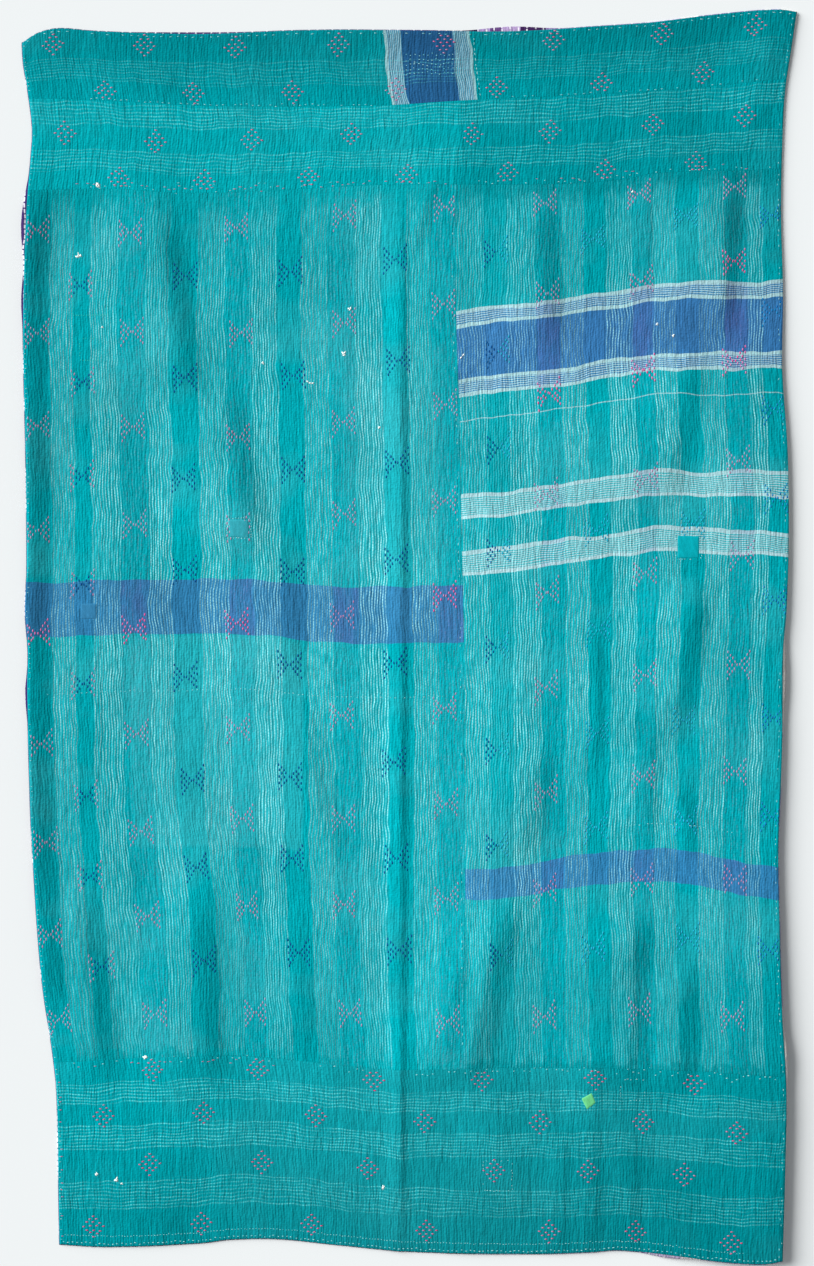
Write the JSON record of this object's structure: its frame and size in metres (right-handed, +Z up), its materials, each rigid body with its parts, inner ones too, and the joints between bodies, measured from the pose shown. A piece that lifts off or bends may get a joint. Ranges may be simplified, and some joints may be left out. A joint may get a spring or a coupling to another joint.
{
  "type": "kantha quilt",
  "caption": "Thin hand-quilted throw of old sari cloth in joined panels over a backing, laid out flat with soft storage folds.",
  "frame": {"origin": "middle of the quilt's outline on the surface it lies on", "axes": "+X across the quilt to its right, +Y up its length to the head strip, +Z up off the surface"},
  "size_m": [1.2947, 2.0906, 0.0191],
  "materials": {
    "field_cotton": "washed plain-woven cotton with pale warp stripes",
    "border_cotton": "washed plain-woven cotton with dashed lines",
    "header_cotton": "washed plain-woven cotton with one blue band",
    "backing_cotton": "washed plain-woven cotton in plum, lilac and cream"
  },
  "bodies": {
    "root": {"backing": "backing_cotton", "foot_border": "border_cotton", "field_left": "field_cotton", "field_right": "field_cotton", "head_border_left": "border_cotton", "head_border_right": "border_cotton", "header_strip": "header_cotton"}
  },
  "joints": []
}
